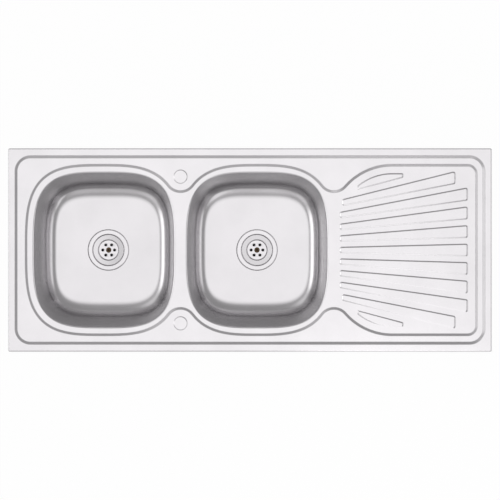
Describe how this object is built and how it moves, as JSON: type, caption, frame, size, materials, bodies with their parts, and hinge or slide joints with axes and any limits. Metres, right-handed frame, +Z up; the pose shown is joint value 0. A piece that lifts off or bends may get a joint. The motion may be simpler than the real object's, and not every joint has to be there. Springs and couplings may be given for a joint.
{
  "type": "double bowl kitchen sink with drainer",
  "caption": "Inset stainless steel kitchen sink: bowls side by side with strainer wastes, a fan-ribbed drainer, knock-out tap holes and fixing clips under the rim.",
  "frame": {"origin": "middle of the sink's plan on the worktop surface that its rim stands on", "axes": "+X along the sink from the left bowl to the drainer, +Y to the back, +Z up"},
  "size_m": [1.2, 0.505, 0.2329],
  "materials": {
    "steel": "fine satin",
    "polished_steel": "polished",
    "zinced_steel": "zinc plated",
    "brass": "turned and browned",
    "waste_plastic": "moulded",
    "rubber": "matt",
    "foam": "closed-cell foam",
    "sound_pad": "bitumen sheet"
  },
  "bodies": {
    "root": {"deck_panel": "steel", "left_bowl": "steel", "left_sound_pad": "sound_pad", "left_waste_flange": "polished_steel", "left_waste_upper_gasket": "rubber", "left_waste_lower_gasket": "rubber", "left_waste_body": "waste_plastic", "left_waste_screw": "brass", "left_waste_nut": "brass", "right_bowl": "steel", "right_sound_pad": "sound_pad", "right_waste_flange": "polished_steel", "right_waste_upper_gasket": "rubber", "right_waste_lower_gasket": "rubber", "right_waste_body": "waste_plastic", "right_waste_screw": "brass", "right_waste_nut": "brass", "front_seal": "foam", "back_seal": "foam", "left_seal": "foam", "right_seal": "foam", "clip_1_bracket": "steel", "clip_1_stud": "zinced_steel", "clip_2_bracket": "steel", "clip_2_stud": "zinced_steel", "clip_3_bracket": "steel", "clip_3_stud": "zinced_steel", "clip_4_bracket": "steel", "clip_4_stud": "zinced_steel", "clip_5_bracket": "steel", "clip_5_stud": "zinced_steel", "clip_6_bracket": "steel", "clip_6_stud": "zinced_steel", "clip_7_bracket": "steel", "clip_7_stud": "zinced_steel", "clip_8_bracket": "steel", "clip_8_stud": "zinced_steel"},
    "clip_1_nut": {"clip_1_wing_nut": "zinced_steel"},
    "clip_1_arm": {"clip_1_claw": "zinced_steel"},
    "clip_2_nut": {"clip_2_wing_nut": "zinced_steel"},
    "clip_2_arm": {"clip_2_claw": "zinced_steel"},
    "clip_3_nut": {"clip_3_wing_nut": "zinced_steel"},
    "clip_3_arm": {"clip_3_claw": "zinced_steel"},
    "clip_4_nut": {"clip_4_wing_nut": "zinced_steel"},
    "clip_4_arm": {"clip_4_claw": "zinced_steel"},
    "clip_5_nut": {"clip_5_wing_nut": "zinced_steel"},
    "clip_5_arm": {"clip_5_claw": "zinced_steel"},
    "clip_6_nut": {"clip_6_wing_nut": "zinced_steel"},
    "clip_6_arm": {"clip_6_claw": "zinced_steel"},
    "clip_7_nut": {"clip_7_wing_nut": "zinced_steel"},
    "clip_7_arm": {"clip_7_claw": "zinced_steel"},
    "clip_8_nut": {"clip_8_wing_nut": "zinced_steel"},
    "clip_8_arm": {"clip_8_claw": "zinced_steel"}
  },
  "joints": [
    {"name": "clip_1_tighten", "type": "slide", "parent": "root", "child": "clip_1_nut", "axis": [0, 0, 1], "range_m": [0, 0.014]},
    {"name": "clip_1_swing", "type": "hinge", "parent": "clip_1_nut", "child": "clip_1_arm", "pos_m": [-0.4, 0.2206, -0.0535], "axis": [0, 0, 1], "range_deg": [0, 90]},
    {"name": "clip_2_tighten", "type": "slide", "parent": "root", "child": "clip_2_nut", "axis": [0, 0, 1], "range_m": [0, 0.014]},
    {"name": "clip_2_swing", "type": "hinge", "parent": "clip_2_nut", "child": "clip_2_arm", "pos_m": [0, 0.2206, -0.0535], "axis": [0, 0, 1], "range_deg": [0, 90]},
    {"name": "clip_3_tighten", "type": "slide", "parent": "root", "child": "clip_3_nut", "axis": [0, 0, 1], "range_m": [0, 0.014]},
    {"name": "clip_3_swing", "type": "hinge", "parent": "clip_3_nut", "child": "clip_3_arm", "pos_m": [0.4, 0.2206, -0.0535], "axis": [0, 0, 1], "range_deg": [0, 90]},
    {"name": "clip_4_tighten", "type": "slide", "parent": "root", "child": "clip_4_nut", "axis": [0, 0, 1], "range_m": [0, 0.014]},
    {"name": "clip_4_swing", "type": "hinge", "parent": "clip_4_nut", "child": "clip_4_arm", "pos_m": [0.571, 0, -0.0535], "axis": [0, 0, 1], "range_deg": [0, 90]},
    {"name": "clip_5_tighten", "type": "slide", "parent": "root", "child": "clip_5_nut", "axis": [0, 0, 1], "range_m": [0, 0.014]},
    {"name": "clip_5_swing", "type": "hinge", "parent": "clip_5_nut", "child": "clip_5_arm", "pos_m": [0.4, -0.2206, -0.0535], "axis": [0, 0, 1], "range_deg": [0, 90]},
    {"name": "clip_6_tighten", "type": "slide", "parent": "root", "child": "clip_6_nut", "axis": [0, 0, 1], "range_m": [0, 0.014]},
    {"name": "clip_6_swing", "type": "hinge", "parent": "clip_6_nut", "child": "clip_6_arm", "pos_m": [0, -0.2206, -0.0535], "axis": [0, 0, 1], "range_deg": [0, 90]},
    {"name": "clip_7_tighten", "type": "slide", "parent": "root", "child": "clip_7_nut", "axis": [0, 0, 1], "range_m": [0, 0.014]},
    {"name": "clip_7_swing", "type": "hinge", "parent": "clip_7_nut", "child": "clip_7_arm", "pos_m": [-0.4, -0.2206, -0.0535], "axis": [0, 0, 1], "range_deg": [0, 90]},
    {"name": "clip_8_tighten", "type": "slide", "parent": "root", "child": "clip_8_nut", "axis": [0, 0, 1], "range_m": [0, 0.014]},
    {"name": "clip_8_swing", "type": "hinge", "parent": "clip_8_nut", "child": "clip_8_arm", "pos_m": [-0.5679, 0, -0.0535], "axis": [0, 0, 1], "range_deg": [0, 90]}
  ]
}
